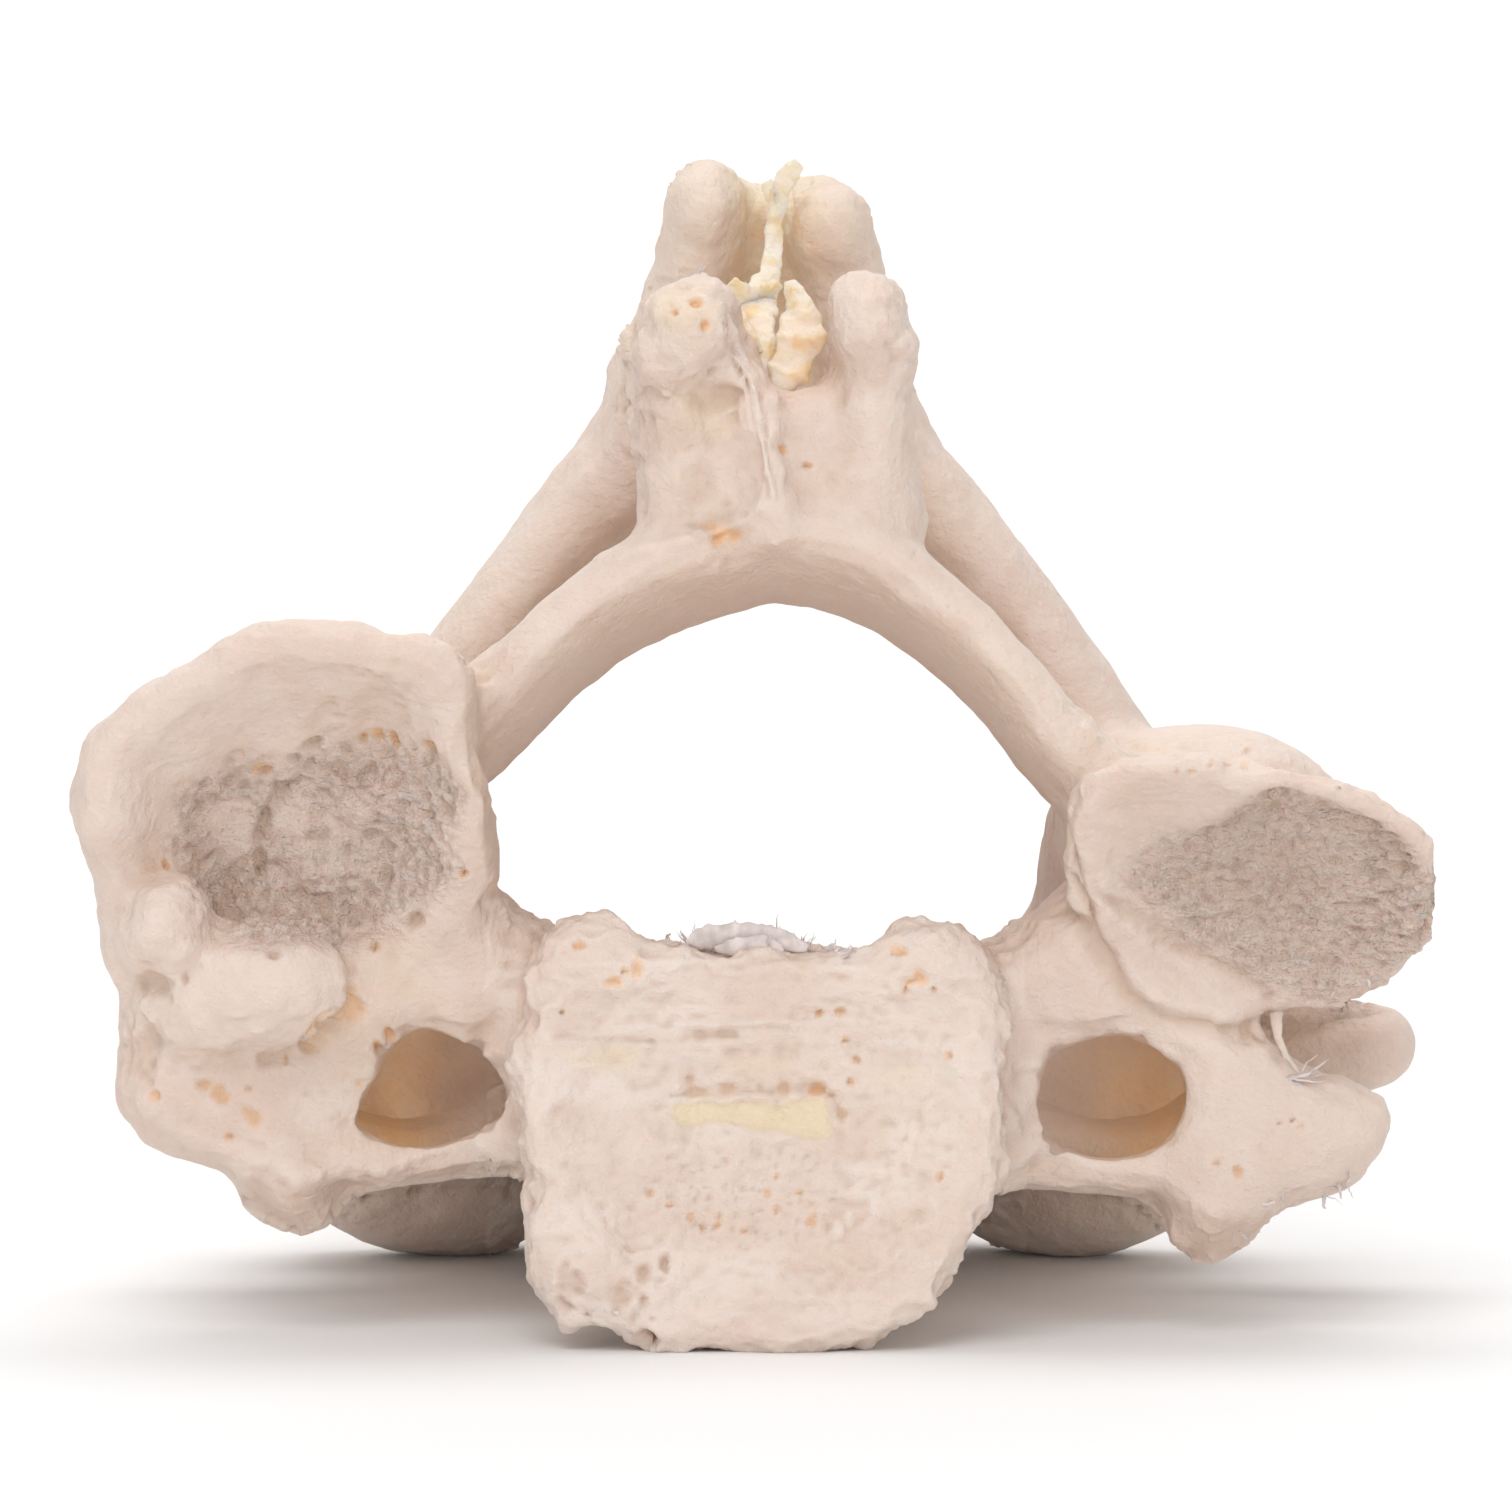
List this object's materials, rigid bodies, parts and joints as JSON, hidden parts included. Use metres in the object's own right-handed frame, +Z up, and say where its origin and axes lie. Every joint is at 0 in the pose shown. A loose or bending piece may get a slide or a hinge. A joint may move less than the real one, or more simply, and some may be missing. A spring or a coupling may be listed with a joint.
{
  "type": "fused human vertebrae",
  "caption": "Human neck vertebrae grown together into a single bone with a wide canal and forked spines, lying front side down as in a museum case.",
  "frame": {"origin": "on the floor, at the centre of the bounding box seen from above", "axes": "+Z up, from the front of the neck to its back; +Y from the lower end of the bone to the tooth of the axis; +X to the person's right"},
  "size_m": [0.0589, 0.06, 0.0507],
  "materials": {
    "bone": "dry matt bone, cream with pink and grey tones",
    "dried_ligament": "dried, yellowish, slightly glossy"
  },
  "bodies": {
    "root": {"third_body": "bone", "axis_body": "bone", "axis_dens": "bone", "third_spinous_process": "bone", "axis_spinous_process": "bone", "third_joint_process_right": "bone", "third_joint_process_left": "bone", "third_side_process_right": "bone", "third_side_process_left": "bone", "third_lamina_right": "bone", "third_lamina_left": "bone", "axis_pillar_right": "bone", "axis_pillar_left": "bone", "axis_side_process_right": "bone", "axis_side_process_left": "bone", "axis_joint_process_right": "bone", "axis_joint_process_left": "bone", "axis_lamina_right": "bone", "axis_lamina_left": "bone", "ligament_strip": "dried_ligament", "ligament_flap": "dried_ligament"}
  },
  "joints": []
}
